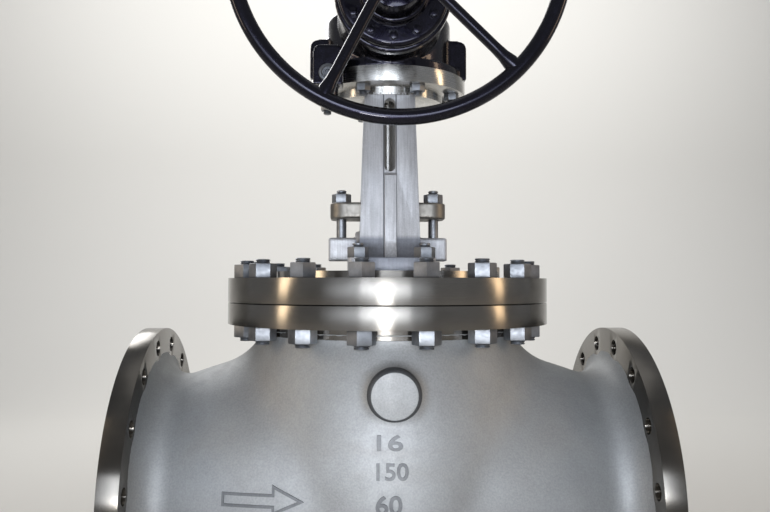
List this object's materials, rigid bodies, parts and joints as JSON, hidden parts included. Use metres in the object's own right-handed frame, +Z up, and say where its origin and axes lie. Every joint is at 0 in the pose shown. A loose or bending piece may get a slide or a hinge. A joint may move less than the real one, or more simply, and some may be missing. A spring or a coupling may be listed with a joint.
{
  "type": "gear operated globe valve",
  "caption": "Flanged cast stainless globe valve with an outside yoke, a rising stem and a bevel gear operator turned by a handwheel.",
  "frame": {"origin": "centre of the feet's sole plane, under the stem", "axes": "+X along the pipe from the inlet to the outlet, +Y away from the handwheel, +Z up along the stem"},
  "size_m": [0.914, 0.735, 1.526],
  "materials": {
    "cast_body": "bead blasted stainless casting, matt grey",
    "machined": "turned stainless, satin",
    "seat_steel": "ground stainless",
    "gasket": "graphite, matt",
    "bolting": "bright stainless bolting",
    "cast_yoke": "blasted casting, matt light grey",
    "black_enamel": "gloss black enamel",
    "shaft_steel": "ground steel"
  },
  "bodies": {
    "valve": {"body": "cast_body", "bonnet": "machined", "bonnet_gasket": "gasket", "bonnet_studs": "bolting", "cover_screws": "black_enamel", "gear_base": "black_enamel", "gear_bolts": "bolting", "gear_case": "black_enamel", "gland_flange": "cast_yoke", "gland_follower": "machined", "gland_studs": "bolting", "input_cover": "black_enamel", "leg_bolt": "bolting", "packing": "gasket", "protector_cap": "black_enamel", "seat_ring": "seat_steel", "side_plug": "shaft_steel", "stem_protector": "black_enamel", "yoke": "cast_yoke", "yoke_studs": "bolting"},
    "stem": {"stem": "shaft_steel", "disc": "seat_steel", "disc_nut": "seat_steel"},
    "handwheel": {"handwheel": "black_enamel", "input_shaft": "shaft_steel", "shaft_nut": "shaft_steel"}
  },
  "joints": [
    {"name": "handwheel_spin", "type": "hinge", "parent": "valve", "child": "handwheel", "pos_m": [0, -0.394, 1.184], "axis": [0, -1, 0], "range_deg": [0, 12600]},
    {"name": "stem_lift", "type": "slide", "parent": "valve", "child": "stem", "axis": [0, 0, 1], "range_m": [0, 0.1051]}
  ],
  "couplings": [
    {"joint": "stem_lift", "follows": "handwheel_spin", "m_per_rad": 0.00047746}
  ]
}
